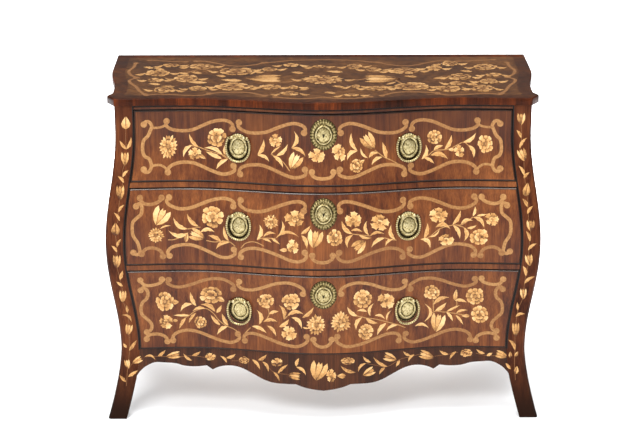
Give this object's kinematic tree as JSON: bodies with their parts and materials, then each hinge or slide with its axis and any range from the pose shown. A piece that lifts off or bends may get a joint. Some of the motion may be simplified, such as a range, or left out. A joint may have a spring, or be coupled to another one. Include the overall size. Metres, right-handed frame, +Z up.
{
  "type": "bombe chest of drawers",
  "caption": "Bombe chest with a serpentine front, long marquetry drawers, brass bail handles and outswept legs.",
  "frame": {"origin": "middle of the whole chest's outline in plan, on the floor under the feet", "axes": "+X to the right seen from the front, across the drawers; +Y from the front to the back; +Z up"},
  "size_m": [1.1096, 0.5808, 0.838],
  "materials": {
    "walnut": "old waxed red-brown walnut, darker towards the feet, with light marquetry sprays",
    "marquetry_veneer": "red-brown walnut veneer with floral marquetry in light woods, waxed",
    "ebonised_bead": "dark stained and waxed",
    "oak": "plain dry oak",
    "brass": "pale aged brass, dull in the hollows and bright on the raised edges",
    "lock_iron": "dull aged iron"
  },
  "bodies": {
    "case": {"corner_post_left": "walnut", "rear_leg_left": "walnut", "side_panel_left": "marquetry_veneer", "side_apron_left": "marquetry_veneer", "corner_post_right": "walnut", "rear_leg_right": "walnut", "side_panel_right": "marquetry_veneer", "side_apron_right": "marquetry_veneer", "top_board": "marquetry_veneer", "front_apron": "marquetry_veneer", "top_rail": "marquetry_veneer", "drawer_rail_upper": "marquetry_veneer", "drawer_rail_lower": "marquetry_veneer", "dust_board_upper": "oak", "dust_board_lower": "oak", "bottom_board": "oak", "back_panel": "oak", "drawer_guide_upper_left": "oak", "drawer_guide_upper_right": "oak", "drawer_guide_middle_left": "oak", "drawer_guide_middle_right": "oak", "drawer_guide_lower_left": "oak", "drawer_guide_lower_right": "oak"},
    "drawer_upper": {"drawer_upper_front": "marquetry_veneer", "drawer_upper_cockbead": "ebonised_bead", "drawer_upper_side_right": "oak", "drawer_upper_side_left": "oak", "drawer_upper_back": "oak", "drawer_upper_bottom": "oak", "drawer_upper_lock": "lock_iron", "drawer_upper_escutcheon": "brass", "handle_plate_upper_left": "brass", "handle_plate_upper_right": "brass"},
    "drawer_middle": {"drawer_middle_front": "marquetry_veneer", "drawer_middle_cockbead": "ebonised_bead", "drawer_middle_side_right": "oak", "drawer_middle_side_left": "oak", "drawer_middle_back": "oak", "drawer_middle_bottom": "oak", "drawer_middle_lock": "lock_iron", "drawer_middle_escutcheon": "brass", "handle_plate_middle_left": "brass", "handle_plate_middle_right": "brass"},
    "drawer_lower": {"drawer_lower_front": "marquetry_veneer", "drawer_lower_cockbead": "ebonised_bead", "drawer_lower_side_right": "oak", "drawer_lower_side_left": "oak", "drawer_lower_back": "oak", "drawer_lower_bottom": "oak", "drawer_lower_lock": "lock_iron", "drawer_lower_escutcheon": "brass", "handle_plate_lower_left": "brass", "handle_plate_lower_right": "brass"},
    "bail_upper_left": {"handle_bail_upper_left": "brass"},
    "bail_upper_right": {"handle_bail_upper_right": "brass"},
    "bail_middle_left": {"handle_bail_middle_left": "brass"},
    "bail_middle_right": {"handle_bail_middle_right": "brass"},
    "bail_lower_left": {"handle_bail_lower_left": "brass"},
    "bail_lower_right": {"handle_bail_lower_right": "brass"}
  },
  "joints": [
    {"name": "drawer_upper_slide", "type": "slide", "parent": "case", "child": "drawer_upper", "axis": [0, -1, 0], "range_m": [0, 0.36]},
    {"name": "drawer_middle_slide", "type": "slide", "parent": "case", "child": "drawer_middle", "axis": [0, -1, 0], "range_m": [0, 0.36]},
    {"name": "drawer_lower_slide", "type": "slide", "parent": "case", "child": "drawer_lower", "axis": [0, -1, 0], "range_m": [0, 0.36]},
    {"name": "bail_upper_left_swing", "type": "hinge", "parent": "drawer_upper", "child": "bail_upper_left", "pos_m": [-0.2113, -0.22986, 0.74191], "axis": [-0.976, 0.2177, 0], "range_deg": [0, 165]},
    {"name": "bail_upper_right_swing", "type": "hinge", "parent": "drawer_upper", "child": "bail_upper_right", "pos_m": [0.2113, -0.22986, 0.74191], "axis": [-0.976, -0.2177, 0], "range_deg": [0, 165]},
    {"name": "bail_middle_left_swing", "type": "hinge", "parent": "drawer_middle", "child": "bail_middle_left", "pos_m": [-0.21113, -0.2553, 0.54758], "axis": [-0.976, 0.2177, 0], "range_deg": [0, 165]},
    {"name": "bail_middle_right_swing", "type": "hinge", "parent": "drawer_middle", "child": "bail_middle_right", "pos_m": [0.21113, -0.2553, 0.54758], "axis": [-0.976, -0.2177, 0], "range_deg": [0, 165]},
    {"name": "bail_lower_left_swing", "type": "hinge", "parent": "drawer_lower", "child": "bail_lower_left", "pos_m": [-0.21244, -0.24422, 0.31957], "axis": [-0.976, 0.2177, 0], "range_deg": [-8, 155]},
    {"name": "bail_lower_right_swing", "type": "hinge", "parent": "drawer_lower", "child": "bail_lower_right", "pos_m": [0.21244, -0.24422, 0.31957], "axis": [-0.976, -0.2177, 0], "range_deg": [-8, 155]}
  ]
}
